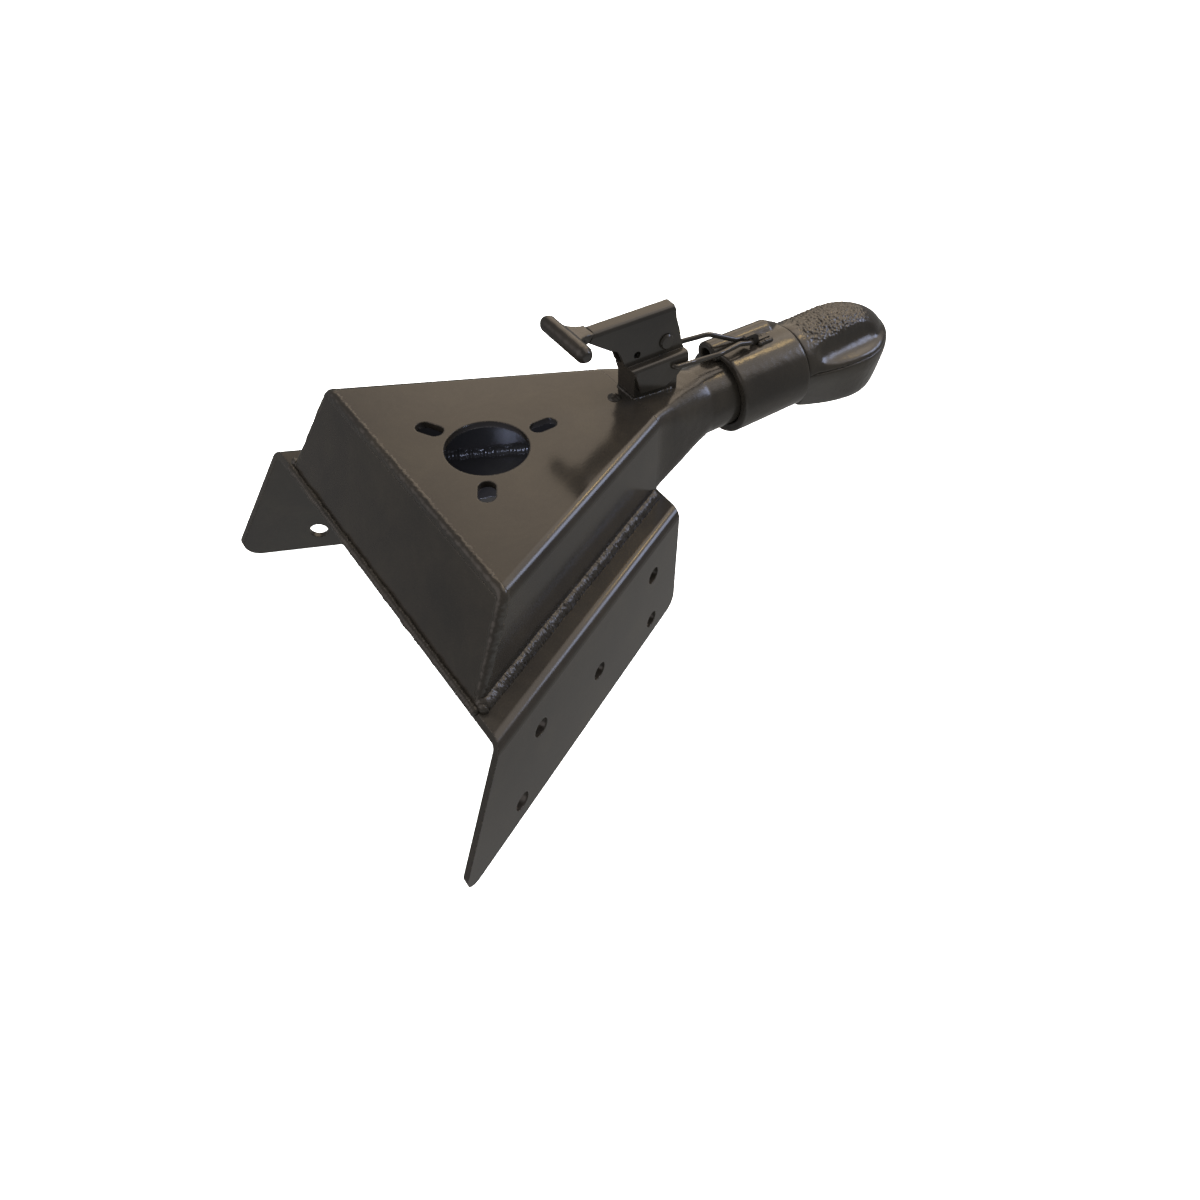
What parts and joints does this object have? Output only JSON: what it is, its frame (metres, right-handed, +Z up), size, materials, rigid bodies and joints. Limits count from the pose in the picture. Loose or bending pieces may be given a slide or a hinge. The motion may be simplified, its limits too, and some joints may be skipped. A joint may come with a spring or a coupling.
{
  "type": "trailer coupler",
  "caption": "Weld-on or bolt-on A-frame trailer coupler with a sliding-collar lock, a T-handled lever and a split ball socket.",
  "frame": {"origin": "jack bore's axis at the top plate's top face", "axes": "+X forward to the ball, +Y left, +Z up along the jack bore"},
  "size_m": [0.6562, 0.4576, 0.3015],
  "materials": {
    "plate_paint": "semi-gloss dark paint on steel plate",
    "forging_paint": "semi-gloss dark paint on a rough forging",
    "weld_paint": "painted weld bead",
    "steel": "painted steel wire and pins"
  },
  "bodies": {
    "root": {"housing_shell": "plate_paint", "base_plate": "plate_paint", "neck": "forging_paint", "rear_plate": "plate_paint", "rear_foot_weld": "weld_paint", "wall_welds": "weld_paint", "neck_key": "forging_paint", "upper_jaw": "forging_paint", "jaw_hinge_pin": "steel", "latch_bracket": "plate_paint", "bracket_welds": "weld_paint", "pivot_rivet": "steel"},
    "lever": {"lever": "plate_paint", "t_bar": "plate_paint"},
    "bail": {"bail": "steel"},
    "collar": {"collar": "forging_paint", "bail_hook": "plate_paint", "hook_welds": "weld_paint"},
    "lower_jaw": {"lower_jaw": "forging_paint"}
  },
  "joints": [
    {"name": "lever_pivot", "type": "hinge", "parent": "root", "child": "lever", "pos_m": [0.1787, 0, 0.0453], "axis": [0, 1, 0], "range_deg": [0, 60]},
    {"name": "bail_pivot", "type": "hinge", "parent": "lever", "child": "bail", "pos_m": [0.1815, 0, 0.023], "axis": [0, 1, 0], "range_deg": [-55.49, 0]},
    {"name": "collar_slide", "type": "slide", "parent": "root", "child": "collar", "axis": [-1, 0, 0], "range_m": [0, 0.02265]},
    {"name": "lower_jaw_hinge", "type": "hinge", "parent": "root", "child": "lower_jaw", "pos_m": [0.2929, 0, -0.0575], "axis": [0, 1, 0], "range_deg": [0, 20.1]}
  ],
  "couplings": [
    {"joint": "bail_pivot", "follows": "lever_pivot", "ratio": -0.9215},
    {"joint": "collar_slide", "follows": "lever_pivot", "m_per_rad": 0.021581},
    {"joint": "lower_jaw_hinge", "follows": "lever_pivot", "ratio": 0.33333}
  ]
}
